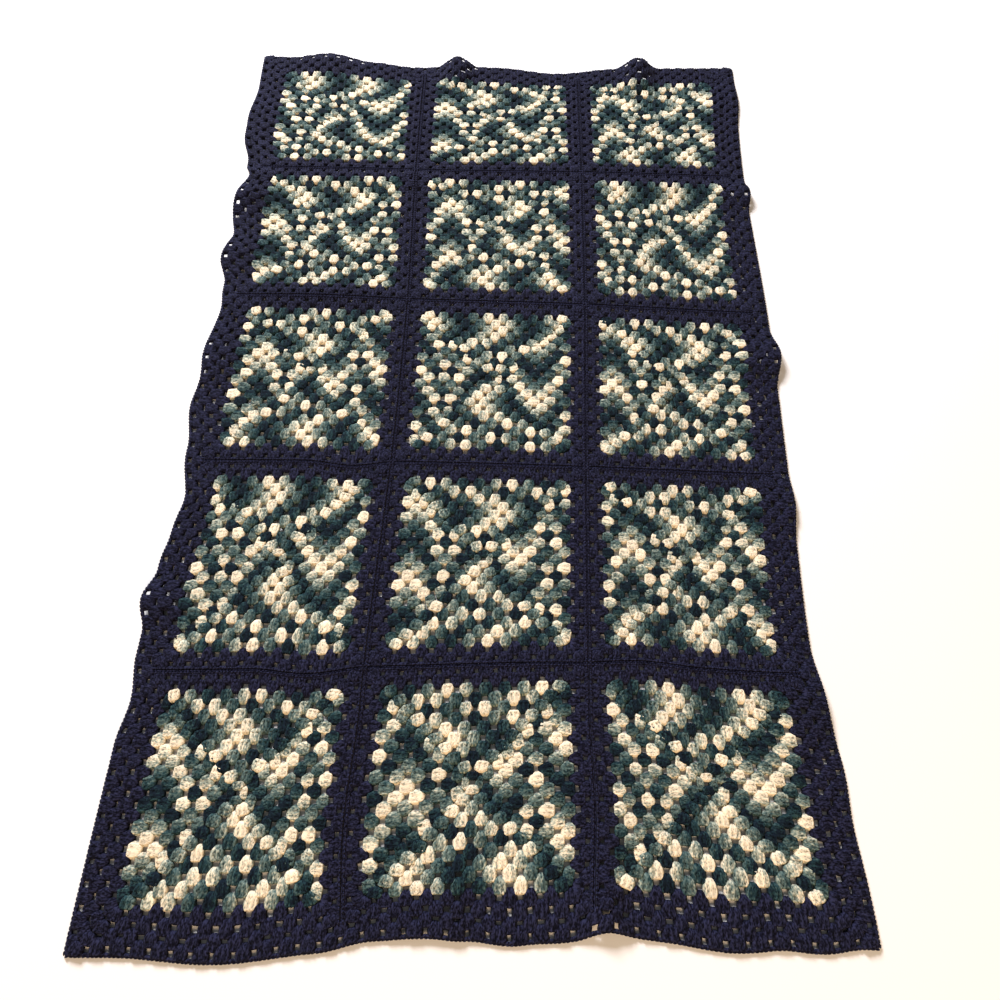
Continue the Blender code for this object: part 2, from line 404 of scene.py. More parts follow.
def cluster_shape(number):
    """One of the uneven clusters: a puffed fan of three posts, in shares of its size, with
    its base at y -1 and its top loops at y 0."""
    draw = np.random.RandomState(CLUSTER_SEED + number)
    rings, shade_paint_levels = [], []
    for place, half, middle, thick, parted in CLUSTER_RINGS:
        ring = []
        lean = draw.uniform(-LEAN_DRAW, LEAN_DRAW)
        tip = place in (0.0, 1.0)
        # each point's painted lightness: painted shade on the outline and the ends, and deeper
        # painted shade in the valleys between posts as they deepen
        for k, share in enumerate(POST_PLACES):
            if k in (0, len(POST_PLACES) - 1):
                height = middle - thick * SIDE_DROP
                shade_paint_levels.append(RIM_PAINTED_LIGHTNESS)
            elif k % 2:
                height = middle + thick * (1 + draw.uniform(-POST_DRAW, POST_DRAW))
                shade_paint_levels.append(END_PAINTED_LIGHTNESS if tip else 1.0)
            else:
                depth = parted * (1 + draw.uniform(-VALLEY_DRAW, VALLEY_DRAW))
                height = middle + thick - depth
                shade_paint_levels.append(END_PAINTED_LIGHTNESS if tip else max(0.0, 1.0 - VALLEY_PAINTED_SHADE * parted))
            widen = half * share * (1 + draw.uniform(-WIDTH_DRAW, WIDTH_DRAW))
            ahead = POST_AHEAD * (k % 2) + draw.uniform(-LENGTH_DRAW, LENGTH_DRAW)
            ring.append((widen + lean, place - 1 + ahead, height))
        # the underside takes the darkest painted shade
        for share in UNDER_PLACES:
            ring.append((half * share + lean, place - 1, middle - thick))
            shade_paint_levels.append(0.0)
        rings.append(ring)
    return ring_mesh(f"cluster_{number}", rings, shade_paint_levels)


def loop_shape(number):
    """A loop of edging chain along +x, a slim bead that is higher at its far end."""
    draw = np.random.RandomState(LOOP_SEED + number)
    count = len(LOOP_PAINTED_LIGHTNESS)
    rings = []
    for place, half, middle, thick in LOOP_RINGS:
        ring = []
        side = draw.uniform(-LOOP_DRAW, LOOP_DRAW)
        for k in range(count):
            angle = math.tau * k / count
            across = half * math.cos(angle) + side
            ring.append((place - 0.5, across, middle + thick * math.sin(angle)))
        rings.append(ring)
    return ring_mesh(f"loop_{number}", rings, list(LOOP_PAINTED_LIGHTNESS) * len(rings))


def stitch_set(name, shape, count):
    """A collection of variants for the nodes to choose from."""
    found = bpy.data.collections.get(name)
    if found:
        return found
    made = bpy.data.collections.new(name)
    for number in range(count):
        made.objects.link(shape(number))
    return made


# ---------------------------------------------------------------- geometry nodes
def new_tree(name, inputs, output):
    """A tree of Geometry Nodes with its named inputs and output, and what it is given."""
    tree = bpy.data.node_groups.new(name, "GeometryNodeTree")
    tree.is_modifier = True
    for label, kind in inputs.items():
        socket_type = f"NodeSocket{kind}"
        socket = tree.interface.new_socket(label, in_out="INPUT", socket_type=socket_type)
        if label in ("Width", "Length", "Thickness", "Radius"):
            socket.subtype = "DISTANCE"
    tree.interface.new_socket(output, in_out="OUTPUT", socket_type="NodeSocketGeometry")
    return tree, add_node(tree, "NodeGroupInput").outputs


def end_tree(tree, shape, yarn):
    """Makes a tree's instances real, gives them their yarn and hands them out."""
    real = add_node(tree, "GeometryNodeRealizeInstances", {"Geometry": shape})
    spun = add_node(tree, "GeometryNodeSetMaterial", {"Geometry": real, "Material": yarn})
    add_node(tree, "NodeGroupOutput", {0: spun})
    return tree


def stitches_tree():
    """Geometry Nodes that put an uneven stitch on every point and make one mesh of them."""
    name = "Stitches on points"
    if name in bpy.data.node_groups:
        return bpy.data.node_groups[name]
    inputs = {
        "Points": "Geometry",
        "Stitches": "Collection",
        "Width": "Float",
        "Length": "Float",
        "Thickness": "Float",
        "Unevenness": "Float",
        "Variants": "Int",
        "Seed": "Int",
        "Yarn": "Material",
    }
    tree, given = new_tree(name, inputs, "Stitched")
    shapes = add_node(
        tree,
        "GeometryNodeCollectionInfo",
        {"Collection": given["Stitches"], "Separate Children": True, "Reset Children": True},
    )
    turn, stretch = (
        add_node(tree, "GeometryNodeInputNamedAttribute", {"Name": label}, data_type=kind)
        for label, kind in (("turn", "FLOAT"), ("stretch", "FLOAT_VECTOR"))
    )
    # the last variant's number, the least wobble, and seeds that the draws don't share
    last, least, wobble_seed, size_seed = (
        add_node(tree, "ShaderNodeMath", {0: given[label], 1: value}, operation=operation)
        for label, operation, value in (
            ("Variants", "SUBTRACT", 1.0),
            ("Unevenness", "MULTIPLY", -1.0),
            ("Seed", "ADD", 7.0),
            ("Seed", "ADD", 19.0),
        )
    )
    spread = add_node(
        tree, "ShaderNodeVectorMath", {0: PLAIN, "Scale": given["Unevenness"]}, operation="SCALE"
    )
    smallest, largest = (
        add_node(tree, "ShaderNodeVectorMath", {0: PLAIN, 1: spread}, operation=operation)
        for operation in ("SUBTRACT", "ADD")
    )
    pick, wobble, uneven = (
        add_node(tree, "FunctionNodeRandomValue", draw, data_type=kind)
        for kind, draw in (
            ("INT", {4: 0, 5: last, "Seed": given["Seed"]}),
            ("FLOAT", {2: least, 3: given["Unevenness"], "Seed": wobble_seed}),
            ("FLOAT_VECTOR", {0: smallest, 1: largest, "Seed": size_seed}),
        )
    )
    turned = add_node(tree, "ShaderNodeMath", {0: turn, 1: wobble.outputs[1]}, operation="ADD")
    rotation = add_node(tree, "ShaderNodeCombineXYZ", {"Z": turned})
    size = add_node(
        tree,
        "ShaderNodeCombineXYZ",
        {"X": given["Width"], "Y": given["Length"], "Z": given["Thickness"]},
    )
    for share in (uneven, stretch):
        size = add_node(tree, "ShaderNodeVectorMath", {0: size, 1: share}, operation="MULTIPLY")
    placed = add_node(
        tree,
        "GeometryNodeInstanceOnPoints",
        {
            "Points": given["Points"],
            "Instance": shapes,
            "Pick Instance": True,
            "Instance Index": pick.outputs[2],
            "Rotation": rotation,
            "Scale": size,
        },
    )
    return end_tree(tree, placed, given["Yarn"])


def strand_tree():
    """Geometry Nodes that run a strand of chain along lines."""
    name = "Strand along lines"
    if name in bpy.data.node_groups:
        return bpy.data.node_groups[name]
    inputs = {"Lines": "Geometry", "Radius": "Float", "Yarn": "Material"}
    tree, given = new_tree(name, inputs, "Strand")
    lines = add_node(tree, "GeometryNodeMeshToCurve", {"Mesh": given["Lines"]})
    section = add_node(
        tree, "GeometryNodeCurvePrimitiveCircle", {"Resolution": 4, "Radius": given["Radius"]}
    )
    tube = add_node(
        tree,
        "GeometryNodeCurveToMesh",
        {"Curve": lines, "Profile Curve": section, "Fill Caps": True},
    )
    return end_tree(tree, tube, given["Yarn"])


def run_tree(name, mesh, tree, inputs):
    """Runs a tree on a mesh and gives back the plain mesh that it makes."""
    carrier = bpy.data.objects.new(name, mesh)
    bpy.context.scene.collection.objects.link(carrier)
    modifier = carrier.modifiers.new(tree.name, "NODES")
    modifier.node_group = tree
    sockets = {
        item.name: item.identifier
        for item in tree.interface.items_tree
        if item.item_type == "SOCKET" and item.in_out == "INPUT"
    }
    for label, value in inputs.items():
        modifier[sockets[label]] = value
    graph = bpy.context.evaluated_depsgraph_get()
    made = bpy.data.meshes.new_from_object(
        carrier.evaluated_get(graph), preserve_all_data_layers=True, depsgraph=graph
    )
    carrier.modifiers.clear()
    bpy.data.objects.remove(carrier)
    bpy.data.meshes.remove(mesh)
    if not len(made.polygons):
        raise RuntimeError(f"{name}: the nodes made no faces")
    return made


def read_floats(mesh, label):
    """A number of each point of a mesh, or zeros where the mesh has none."""
    values = np.zeros(len(mesh.vertices), np.float32)
    attribute = mesh.attributes.get(label)
    if attribute is not None:
        attribute.data.foreach_get("value", values)
    return values


def write_floats(mesh, label, values):
    """Puts a number, or a row of three, on each point of a mesh."""
    if label in mesh.attributes:
        mesh.attributes.remove(mesh.attributes[label])
    values = np.asarray(values, np.float32)
    kind, key = ("FLOAT", "value") if values.ndim == 1 else ("FLOAT_VECTOR", "vector")
    mesh.attributes.new(label, kind, "POINT").data.foreach_set(key, values.ravel())


def point_mesh(stitches):
    """A mesh of loose points that carries what each stitch needs."""
    mesh = bpy.data.meshes.new("points")
    mesh.from_pydata([tuple(place) for place in stitches["place"]], [], [])
    for label in ("turn", "dye", "step", "seed", "stretch"):
        write_floats(mesh, label, stitches[label])
    return mesh


def work_stitches(name, stitches, shapes, size, seed, yarn):
    """Works stitches on their points, and gives a flat mesh with dye and stitch on it."""
    made = run_tree(
        name,
        point_mesh(stitches),
        stitches_tree(),
        {
            "Stitches": shapes,
            "Width": size[0],
            "Length": size[1],
            "Thickness": size[2],
            "Unevenness": bpy.context.scene.blanket_sizes.unevenness,
            "Variants": len(shapes.objects),
            "Seed": seed,
            "Yarn": yarn,
        },
    )
    across, along, dye, step, start = (
        read_floats(made, label) for label in ("across", "along", "dye", "step", "seed")
    )
    write_floats(made, "dye", dye - across * step)
    write_floats(made, "stitch", np.stack([across * size[0], along * size[1], start], 1))
    write_floats(made, "tint", (start * TINT_TURN) % 1.0)
    for label in ("across", "along", "step", "seed", "turn", "stretch"):
        if label in made.attributes:
            made.attributes.remove(made.attributes[label])
    return made


def read_places(mesh):
    """The places of a mesh's points, a row for each."""
    places = np.zeros(len(mesh.vertices) * 3, np.float32)
    mesh.vertices.foreach_get("co", places)
    return places.reshape(-1, 3)


def work_strand(name, points, radius, yarn):
    """Runs a strand through points, and gives a flat mesh with stitch on it."""
    mesh = bpy.data.meshes.new("lines")
    mesh.from_pydata(points, [(k, k + 1) for k in range(len(points) - 1)], [])
    made = run_tree(name, mesh, strand_tree(), {"Radius": radius, "Yarn": yarn})
    # a strand is painted at full lightness, with no painted shade
    write_floats(made, "crest", np.full(len(made.vertices), 1.0))
    write_floats(made, "stitch", read_places(made))
    write_floats(made, "tint", np.full(len(made.vertices), 0.5))
    return made


def lay_piece(name, meshes, replaces=None):
    """Joins flat meshes into one piece and lays it as the blanket lies."""
    objects = []
    for mesh in meshes:
        part = bpy.data.objects.new(name, mesh)
        bpy.context.scene.collection.objects.link(part)
        objects.append(part)
    if len(objects) > 1:
        with bpy.context.temp_override(
            active_object=objects[0], selected_editable_objects=objects
        ):
            bpy.ops.object.join()
    piece = objects[0]
    piece.name = piece.data.name = name
    mesh = piece.data
    flat = read_places(mesh).astype(float)
    laid = lie(flat[:, 0], flat[:, 1], flat[:, 2])
    mesh.vertices.foreach_set("co", laid.astype(np.float32).ravel())
    mesh.polygons.foreach_set("use_smooth", np.ones(len(mesh.polygons), bool))
    mesh.update()
    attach(piece, "root")
    if replaces:
        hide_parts(replaces)
    return piece


# ---------------------------------------------------------------- yarns
def yarn_patches(tree, stitch, pattern):
    """Soft uneven patches on a stitch, of a pattern's scale and detail."""
    scale, detail = pattern
    laid = add_node(tree, "ShaderNodeMapping", {"Vector": stitch, "Scale": scale})
    return add_node(tree, "ShaderNodeTexNoise", {"Vector": laid, "Scale": 1.0, "Detail": detail})


def shade_yarn(tree, colour, stitch):
    """Paints shade into the hollows between the loops of a stitch, and into its outline, ends,
    underside and the valleys between its posts where its painted lightness is low, and roughens
    the surface.

    Worsted yarn lies in loops about 2.6 mm apart. Each is drawn a little coarser than the
    real ply, about 1 mm, so that it shows at this distance."""
    spacing = bpy.context.scene.blanket_sizes.loop_spacing
    scale = (LOOP_CELLS[0] / spacing, LOOP_CELLS[1] / spacing, 1.0)
    loops = add_node(tree, "ShaderNodeMapping", {"Vector": stitch, "Scale": scale})
    cells = add_node(
        tree,
        "ShaderNodeTexVoronoi",
        {"Vector": loops, "Scale": 1.0, "Randomness": LOOP_RANDOMNESS},
        feature="F1",
    )
    # painted shade in the hollows between the small loops
    painted_hollow_shade = add_node(tree, "ShaderNodeValToRGB", {0: cells.outputs["Distance"]})
    set_ramp(painted_hollow_shade, PAINTED_HOLLOW_STOPS)
    # light scatters on between pale strands, so their hollows stay paler
    pale = add_node(tree, "ShaderNodeRGBToBW", {0: colour})
    # painted shade where a stitch's painted lightness is low: its outline, ends, underside and
    # the valleys between its posts
    crest = add_node(tree, "ShaderNodeAttribute", attribute_name="crest")
    depth, between = (
        add_node(tree, "ShaderNodeMapRange", {"Value": value, "To Min": low, "To Max": high})
        for value, low, high in (
            (pale, 1.0, PALE_DEPTH),
            (crest.outputs["Fac"], DARKEST_PAINTED_SHADE, 1.0),
        )
    )
    for shadow in (painted_hollow_shade, between):
        mixed = {0: depth, 6: colour, 7: shadow}
        colour = add_node(tree, "ShaderNodeMix", mixed, **MULTIPLY).outputs[2]
    fibre = yarn_patches(tree, stitch, FIBRES)
    height = add_node(
        tree, "ShaderNodeMath", {0: fibre, 1: cells.outputs["Distance"]}, operation="ADD"
    )
    bump = add_node(tree, "ShaderNodeBump", {**BUMP, "Height": height})
    return colour, bump.outputs[0]


def start_yarn(name):
    """A new yarn, its nodes, and the place within a stitch that its patterns follow."""
    material = bpy.data.materials.new(name)
    material.use_nodes = True
    tree = material.node_tree
    stitch = add_node(tree, "ShaderNodeAttribute", attribute_name="stitch")
    return material, tree, stitch.outputs["Vector"]


def finish_yarn(material, colour, stitch):
    """Acrylic yarn: matt, with a soft halo of fibres."""
    tree = material.node_tree
    shader = tree.nodes["Principled BSDF"]
    for label, value in YARN_FINISH.items():
        shader.inputs[label].default_value = value
    shaded, normal = shade_yarn(tree, colour, stitch)
    tree.links.new(shaded, shader.inputs["Base Color"])
    tree.links.new(normal, shader.inputs["Normal"])
    return material


def variegated_worsted_acrylic():
    """Space-dyed worsted acrylic, plied and crocheted: the dye runs on along the yarn from
    cream through grey-green to deep teal and back, with mottled changes between them."""
    name = "space-dyed worsted acrylic yarn"
    if name in bpy.data.materials:
        return bpy.data.materials[name]
    hues = bpy.context.scene.blanket_colours
    material, tree, stitch = start_yarn(name)
    dye, tint = (
        add_node(tree, "ShaderNodeAttribute", attribute_name=label).outputs["Fac"]
        for label in ("dye", "tint")
    )
    # strands of one stitch lie beside yarn from further on, so the change is mottled
    mottle = yarn_patches(tree, stitch, MOTTLES)
    spread = add_node(
        tree,
        "ShaderNodeMath",
        {0: mottle, 1: MOTTLE_REACH, 2: -MOTTLE_REACH / 2},
        operation="MULTIPLY_ADD",
    )
    moved = add_node(tree, "ShaderNodeMath", {0: dye, 1: spread}, operation="ADD")
    repeat = add_node(tree, "ShaderNodeMath", {0: moved}, operation="FRACT")
    ramp = add_node(tree, "ShaderNodeValToRGB", {0: repeat})
    set_ramp(ramp, [(place, getattr(hues, label)[:]) for place, label in DYE_STOPS])
    bright = add_node(
        tree, "ShaderNodeMapRange", {"Value": tint, "To Min": DULLEST, "To Max": 1.0}
    )
    uneven = add_node(tree, "ShaderNodeMix", {0: 1.0, 6: ramp, 7: bright}, **MULTIPLY)
    return finish_yarn(material, uneven.outputs[2], stitch)


def navy_worsted_acrylic():
    """Solid navy worsted acrylic, plied and crocheted: painted nearly black in the hollows as
    painted shade, with painted bluish highlights where the plies turn up to the light."""
    name = "navy worsted acrylic yarn"
    if name in bpy.data.materials:
        return bpy.data.materials[name]
    hues = bpy.context.scene.blanket_colours
    material, tree, stitch = start_yarn(name)
    # a noise pattern paints highlights on the plies and shade between them
    plies = yarn_patches(tree, stitch, PAINTED_PLY_LIGHT)
    ramp = add_node(tree, "ShaderNodeValToRGB", {0: plies})
    set_ramp(ramp, ((PAINTED_PLY_STOPS[0], hues.navy_shade[:]), (PAINTED_PLY_STOPS[1], hues.navy[:])))
    return finish_yarn(material, ramp.outputs[0], stitch)


# ---------------------------------------------------------------- rounds
def new_stitches():
    """Empty lists of what each stitch needs."""
    return {key: [] for key in ("place", "turn", "stretch", "dye", "step", "seed")}


def add_stitch(stitches, place, turn, dye=0.0, step=0.0, stretch=PLAIN):
    """Adds a stitch at a flat place, turned by an angle, with the dye at its middle and
    the step of dye across it."""
    stitches["place"].append(place)
    stitches["turn"].append(turn)
    stitches["stretch"].append(stretch)
    stitches["dye"].append(dye)
    stitches["step"].append(step)
    stitches["seed"].append(len(stitches["seed"]) * SEED_STEP)


def work_clusters(name, stitches, draws, yarn):
    """Works clusters of three double crochets on their places."""
    sizes = bpy.context.scene.blanket_sizes
    size = (sizes.cluster_width, sizes.cluster_length, sizes.cluster_thickness)
    shapes = stitch_set("clusters", cluster_shape, VARIANTS)
    return work_stitches(name, stitches, shapes, size, sizes.seed + draws, yarn)


def work_loops(name, stitches, thickness, draws, yarn):
    """Works the loops of a seam or the rim, their thickness being a share of their width."""
    sizes = bpy.context.scene.blanket_sizes
    size = (sizes.loop_length, sizes.loop_width, sizes.loop_width * thickness)
    shapes = stitch_set("loops", loop_shape, LOOP_VARIANTS)
    return work_stitches(name, stitches, shapes, size, sizes.seed + draws, yarn)


def square_middle(row, column):
    """The flat place of a square's middle."""
    return -HALF + (column + 0.5) * SIDE, TOP - (row + 0.5) * SIDE


def square_yarn(row, column):
    """Clusters to one repeat of the dye in a square, and where in it the square starts. The
    three kinds of ball take turns along the rows and down the columns."""
    ball = (row + column) % 3 - 1
    return DYE_REPEAT + BALL_CHANGE * ball, (row * COLUMNS + column) * START_STEP


def yarn_used(number):
    """Clusters' worth of yarn used before a round."""
    return 2 * number * (number - 1) + 4 * CORNER_YARN * (number - 1)


def meets_seam(row, column, out):
    """Whether a side of a square, which faces out, meets another square."""
    return 0 <= row - out[1] < ROWS and 0 <= column + out[0] < COLUMNS


def square_stitches(row, column, rounds):
    """The clusters of some rounds of a square, worked anticlockwise."""
    middle_u, middle_v = square_middle(row, column)
    repeat, start = square_yarn(row, column)
    stitches = new_stitches()
    for number in rounds:
        for side, (out, ahead, turn) in enumerate(WORKED_SIDES):
            joined = number == ROUNDS and meets_seam(row, column, out)
            far = number * ROUND + (-EDGE_SET if joined else OVER_EDGE)
            for i in range(number):
                end = 1 if i == number - 1 else -1 if i == 0 else 0
                along = (i - (number - 1) / 2) * PITCH
                u = middle_u + out[0] * far + ahead[0] * along
                v = middle_v + out[1] * far + ahead[1] * along
                used = yarn_used(number) + side * (number + CORNER_YARN) + i
                dye = used / repeat + number * JOIN_SHARE + start
                lean, stretch = 0.0, LAST_STRETCH if joined else PLAIN
                if number == 1:
                    stretch = CENTRE_STRETCH
                elif end:  # the end clusters of a side share the corner space
                    lean, stretch = CORNER_LEAN * end, CORNER_STRETCH
                step = POST_STEP / repeat
                lift = CORNER_LIFT if end and side % 2 else 0.0
                add_stitch(stitches, (u, v, lift), turn + lean, dye, step, stretch)
    return stitches


def square_name(label, row, column):
    """The name of a square's piece or node."""
    return f"{label}_r{row + 1}_c{column + 1}"


def work_square(label, row, column, rounds, draws, yarn):
    """One piece of a square: the clusters of some of its rounds."""
    name = square_name(label, row, column)
    stitches = square_stitches(row, column, rounds)
    clusters = work_clusters(name, stitches, draws + row * COLUMNS + column, yarn)
    return lay_piece(name, [clusters], square_name("square", row, column))


def side_halves(side):
    """Half the length of a side of the joined squares, and its distance from the middle."""
    return (TOP / 2, HALF) if side in UPRIGHT_SIDES else (HALF, TOP / 2)


def side_place(side, far, along, height):
    """A flat place on one side of the blanket, by its distance from the middle."""
    out, ahead, _ = WORKED_SIDES[side]
    u = out[0] * far + ahead[0] * along
    return u, TOP / 2 + out[1] * far + ahead[1] * along, height


def strip_stitches(side):
    """The clusters of the border's rounds along one side of the blanket. Each strip has
    clusters of its own in the corner spaces."""
    turn = WORKED_SIDES[side][2]
    long_half, far_half = side_halves(side)
    stitches = new_stitches()
    for number in range(1, BORDER_ROUNDS + 1):
        last = number == BORDER_ROUNDS
        far = far_half + number * ROUND
        far += -RIM_SET if last else OVER_EDGE
        total = round(2 * long_half / PITCH) + number
        for i in range(total):
            end = 1 if i == total - 1 else -1 if i == 0 else 0
            along = (i - (total - 1) / 2) * PITCH
            lift = CORNER_LIFT if end and side % 2 else 0.0
            stretch = CORNER_STRETCH if end else RIM_STRETCH if last else PLAIN
            place = side_place(side, far, along, lift)
            add_stitch(stitches, place, turn + CORNER_LEAN * end, stretch=stretch)
    return stitches


def rim_chain(side):
    """The places of the strand of chain along one side of the blanket."""
    long_half, far_half = side_halves(side)
    reach = long_half + BORDER - RIM_CHAIN_IN
    far = far_half + BORDER - RIM_CHAIN_IN
    steps = 2 * (round(2 * long_half / PITCH) + BORDER_ROUNDS)
    alongs = [(i / steps * 2 - 1) * reach for i in range(steps + 1)]
    return [side_place(side, far, along, CHAIN_HEIGHT) for along in alongs]


def rim_loops(side):
    """Loops of the last round's top edge, along one side of the blanket."""
    ahead = WORKED_SIDES[side][1]
    long_half, far_half = side_halves(side)
    far = far_half + BORDER - RIM_IN
    reach = long_half + BORDER - RIM_IN - RIM_CORNER
    count = int(2 * reach / bpy.context.scene.blanket_sizes.loop_length)
    heading = math.atan2(ahead[1], ahead[0])
    loops = new_stitches()
    for i in range(count + 1):
        along = (i / count * 2 - 1) * reach
        add_stitch(loops, side_place(side, far, along, RIM_HEIGHT), heading)
    return loops


def seam_place(at_u, at_v, offset, along, height):
    """A flat place on the seam that runs up at at_u or else across at at_v, by its offset
    from the seam's line."""
    if at_v is None:
        return at_u + offset, along, height
    return -HALF + along, at_v + offset, height


# ---------------------------------------------------------------- sizes and colours
def size_property(name, description, default):
    """A length that a user would change."""
    return FloatProperty(name=name, description=description, default=default, unit="LENGTH")


def colour_property(name, description, text):
    """A colour that a user would change, from its sRGB hex value."""
    return FloatVectorProperty(
        name=name, description=description, default=from_hex(text), subtype="COLOR"
    )


class BlanketSizes(bpy.types.PropertyGroup):
    """Sizes of the crochet work"""

    cluster_width: size_property(
        "Cluster Width", "Width of a cluster of three double crochets", 0.0214
    )
    cluster_length: size_property(
        "Cluster Length",
        "Length of a cluster from its base, over the round before, to its top",
        0.0206,
    )
    cluster_thickness: size_property(
        "Cluster Thickness", "Thickness of a cluster, from the floor's side upwards", 0.0084
    )
    chain_radius: size_property(
        "Chain Radius", "Radius of the strand of top loops along the edge of a piece", 0.0026
    )
    loop_length: size_property(
        "Loop Length", "Length of a loop in the seams and along the rim", 0.0056
    )
    loop_width: size_property(
        "Loop Width", "Width of a loop in the seams and along the rim", 0.0032
    )
    seam_gap: size_property(
        "Seam Gap", "Distance between the two rows of loops of a seam", 0.0058
    )
    join_radius: size_property(
        "Join Radius", "Radius of the strand that joins two squares, low in the seam", 0.0021
    )
    loop_spacing: size_property(
        "Loop Spacing", "Distance between the small loops that show on a stitch", 0.0026
    )
    unevenness: FloatProperty(
        name="Unevenness",
        description="How unlike each other the stitches are, as a share and in radians",
        default=0.07,
        subtype="FACTOR",
        min=0.0,
        max=1.0,
    )
    seed: IntProperty(
        name="Seed", description="Start of the draws for uneven stitches", default=11
    )


class BlanketColours(bpy.types.PropertyGroup):
    """Colours of the yarns and the floor"""

    cream: colour_property("Cream", "Palest length of the dye repeat", "#EFDDBC")
    sage: colour_property("Sage", "Pale length between cream and grey-green", "#B4B59E")
    grey_green: colour_property("Grey-Green", "Middle length of the dye repeat", "#607169")
    teal: colour_property("Teal", "Length before the darkest", "#263F41")
    deep_teal: colour_property("Deep Teal", "Darkest length of the dye repeat", "#111B25")
    # navy is the painted highlight of the plies, navy_shade the painted shade between them
    navy: colour_property("Navy", "Navy yarn where it faces the light", "#28293F")
    navy_shade: colour_property("Navy Shade", "Navy yarn between its plies", "#0A0916")
    floor: colour_property("Floor", "Plain pale floor", "#DDD9D2")


# ---------------------------------------------------------------- operators
class BLANKET_OT_seams(bpy.types.Operator):
    """Join the squares with seams that stand up as two rows of loops"""

    bl_idname = "blanket.seams"
    bl_label = "Join Seams"

    def execute(self, context):
        yarn = navy_worsted_acrylic()
        sizes = context.scene.blanket_sizes
        lines = []
        for column in range(1, COLUMNS):
            lines.append((f"seam_up_{column}", -HALF + column * SIDE, None))
        for row in range(1, ROWS):
            lines.append((f"seam_across_{row}", None, TOP - row * SIDE))
        for order, (name, at_u, at_v) in enumerate(lines):
            up = at_v is None
            length = TOP if up else 2 * HALF
            ridge, groove = UP_HEIGHTS if up else ACROSS_HEIGHTS
            count = int(length / sizes.loop_length)
            loops = new_stitches()
            for offset in (-sizes.seam_gap / 2, sizes.seam_gap / 2):
                for i in range(count):
                    along = (i + 0.5) / count * length
                    place = seam_place(at_u, at_v, offset, along, ridge)
                    add_stitch(loops, place, math.pi / 2 if up else 0.0)
            meshes = [work_loops(name, loops, 1.0, SEAM_DRAWS + order, yarn)]
            steps = 2 * round(length / PITCH)
            alongs = [i / steps * length for i in range(steps + 1)]
            for offset, height, radius in (
                (0.0, groove, sizes.join_radius),
                (-CHAIN_IN, STRAND_HEIGHT, sizes.chain_radius),
                (CHAIN_IN, STRAND_HEIGHT, sizes.chain_radius),
            ):
                points = [seam_place(at_u, at_v, offset, along, height) for along in alongs]
                meshes.append(work_strand(name, points, radius, yarn))
            lay_piece(name, meshes)
        return {"FINISHED"}


class BLANKET_OT_squares(bpy.types.Operator):
    """Crochet the ten variegated rounds of each of the fifteen squares"""

    bl_idname = "blanket.squares"
    bl_label = "Crochet Squares"

    def execute(self, context):
        yarn = variegated_worsted_acrylic()
        rounds = range(1, YARN_ROUNDS + 1)
        for row, column in SQUARES:
            piece = work_square("granny", row, column, rounds, 0, yarn)
        return {"FINISHED"}


class BLANKET_OT_navy_rounds(bpy.types.Operator):
    """Crochet the two navy rounds of each of the fifteen squares"""

    bl_idname = "blanket.navy_rounds"
    bl_label = "Crochet Navy Rounds"

    def execute(self, context):
        yarn = navy_worsted_acrylic()
        rounds = range(YARN_ROUNDS + 1, ROUNDS + 1)
        for row, column in SQUARES:
            piece = work_square(
                "navy_rounds", row, column, rounds, NAVY_DRAWS, yarn
            )
            seams = [f"seam_up_{column}"] if column else []
            seams += [f"seam_across_{row}"] if row else []
        return {"FINISHED"}


class BLANKET_OT_border(bpy.types.Operator):
    """Crochet the two navy rounds round the whole blanket"""

    bl_idname = "blanket.border"
    bl_label = "Crochet Border"

    def execute(self, context):
        yarn = navy_worsted_acrylic()
        radius = context.scene.blanket_sizes.chain_radius
        for side, label in enumerate(SIDE_NAMES):
            name = f"border_rounds_{label}"
            clusters = work_clusters(name, strip_stitches(side), BORDER_DRAWS + side, yarn)
            chain = work_strand(name, rim_chain(side), radius, yarn)
            loops = work_loops(name, rim_loops(side), RIM_THICKNESS, RIM_DRAWS + side, yarn)
            edge = lay_piece(f"edge_loops_{label}", [chain, loops])
            piece = lay_piece(name, [clusters], f"border_{label}")
        return {"FINISHED"}


def camera_matrix():
    """The camera's place and turn."""
    level = Vector((0, math.cos(CAMERA_PITCH), -math.sin(CAMERA_PITCH)))
    above = Vector((0, math.sin(CAMERA_PITCH), math.cos(CAMERA_PITCH)))
    turn = Matrix.Rotation(CAMERA_TURN, 3, "Z")
    forward, up, right = turn @ level, turn @ above, turn @ Vector((1, 0, 0))
    cos_roll, sin_roll = math.cos(CAMERA_ROLL), math.sin(CAMERA_ROLL)
    across = cos_roll * right + sin_roll * up
    upward = cos_roll * up - sin_roll * right
    turned = Matrix((across, upward, -forward)).transposed().to_4x4()
    return Matrix.Translation(CAMERA_PLACE) @ turned


def soft_light(name, place, aim, size, watts, colour):
    """A large area light that looks at a point."""
    data = bpy.data.lights.new(name, "AREA")
    data.shape = "DISK"
    data.size = size
    data.energy = watts
    data.color = from_hex(colour)
    lamp = bpy.data.objects.new(name, data)
    bpy.context.scene.collection.objects.link(lamp)
    direction = Vector(aim) - Vector(place)
    turned = direction.to_track_quat("-Z", "Y").to_matrix().to_4x4()
    lamp.matrix_world = Matrix.Translation(place) @ turned


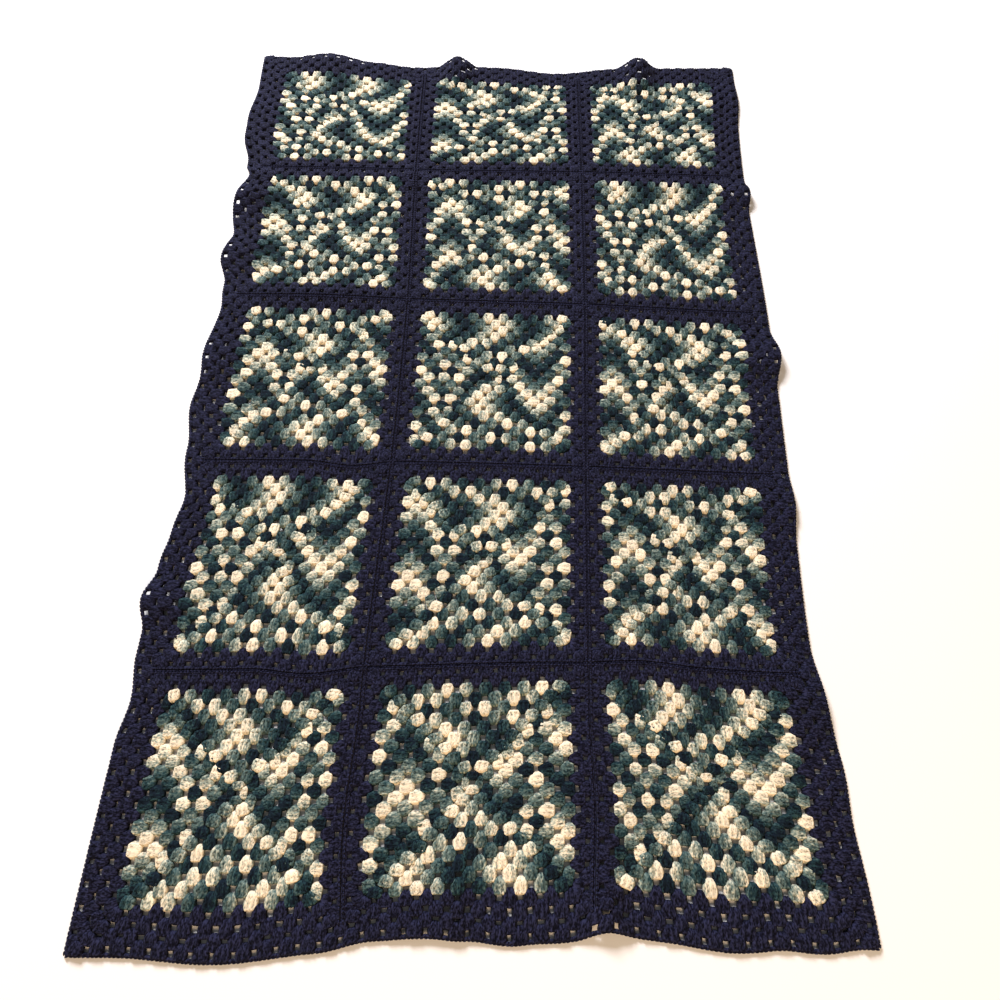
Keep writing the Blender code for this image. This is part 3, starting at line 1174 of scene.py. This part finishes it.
class BLANKET_OT_stage(bpy.types.Operator):
    """Set the plain floor, the soft lights and the camera"""

    bl_idname = "blanket.stage"
    bl_label = "Set Stage"

    def execute(self, context):
        scene = context.scene
        paint = bpy.data.materials.new("matt painted floor")
        paint.use_nodes = True
        shader = paint.node_tree.nodes["Principled BSDF"]
        shader.inputs["Base Color"].default_value = (*scene.blanket_colours.floor[:], 1.0)
        for label, value in FLOOR_FINISH.items():
            shader.inputs[label].default_value = value
        mesh = bpy.data.meshes.new("floor")
        turns = ((-1, -1), (1, -1), (1, 1), (-1, 1))
        corners = [(x * FLOOR_REACH, y * FLOOR_REACH, 0.0) for x, y in turns]
        mesh.from_pydata(corners, [], [(0, 1, 2, 3)])
        mesh.materials.append(paint)
        floor = bpy.data.objects.new("floor", mesh)
        scene.collection.objects.link(floor)
        world = scene.world or bpy.data.worlds.new("studio")
        scene.world = world
        world.use_nodes = True
        back = world.node_tree.nodes["Background"]
        back.inputs["Color"].default_value = (*from_hex(ROOM_COLOUR), 1.0)
        back.inputs["Strength"].default_value = ROOM_STRENGTH
        for light in LIGHTS:
            soft_light(*light)
        data = bpy.data.cameras.new("camera")
        data.lens, data.sensor_width = CAMERA_LENS, CAMERA_SENSOR
        data.clip_start, data.clip_end = CAMERA_CLIP
        camera = bpy.data.objects.new("camera", data)
        scene.collection.objects.link(camera)
        camera.matrix_world = camera_matrix()
        scene.camera = camera
        scene.view_settings.view_transform = "Standard"
        return {"FINISHED"}


STEPS = (
    BLANKET_OT_seams,
    BLANKET_OT_squares,
    BLANKET_OT_navy_rounds,
    BLANKET_OT_border,
    BLANKET_OT_stage,
)


class BLANKET_PT_panel(bpy.types.Panel):
    """Lists the steps that make the blanket"""

    bl_idname = "BLANKET_PT_panel"
    bl_label = "Granny Square Blanket"
    bl_space_type = "VIEW_3D"
    bl_region_type = "UI"
    bl_category = "Blanket"

    def draw(self, context):
        column = self.layout.column()
        for step in STEPS:
            column.operator(step.bl_idname)
        for group in (context.scene.blanket_sizes, context.scene.blanket_colours):
            for key in group.bl_rna.properties.keys():
                if key not in ("rna_type", "name"):
                    column.prop(group, key)


CLASSES = (BlanketSizes, BlanketColours, *STEPS, BLANKET_PT_panel)


def register():
    for cls in CLASSES:
        bpy.utils.register_class(cls)
    bpy.types.Scene.blanket_sizes = PointerProperty(type=BlanketSizes)
    bpy.types.Scene.blanket_colours = PointerProperty(type=BlanketColours)


def unregister():
    del bpy.types.Scene.blanket_colours
    del bpy.types.Scene.blanket_sizes
    for cls in reversed(CLASSES):
        bpy.utils.unregister_class(cls)


def clear_start_up():
    """Removes Blender's own cube, light and camera, and nothing of the frame."""
    for name in ("Cube", "Light", "Camera"):
        found = bpy.data.objects.get(name)
        if found and "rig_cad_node" not in found:
            bpy.data.objects.remove(found)


def main():
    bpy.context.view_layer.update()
    register()
    clear_start_up()
    bpy.ops.blanket.seams()
    bpy.ops.blanket.squares()
    bpy.ops.blanket.navy_rounds()
    bpy.ops.blanket.border()
    bpy.ops.blanket.stage()


if __name__ == "__main__":
    main()
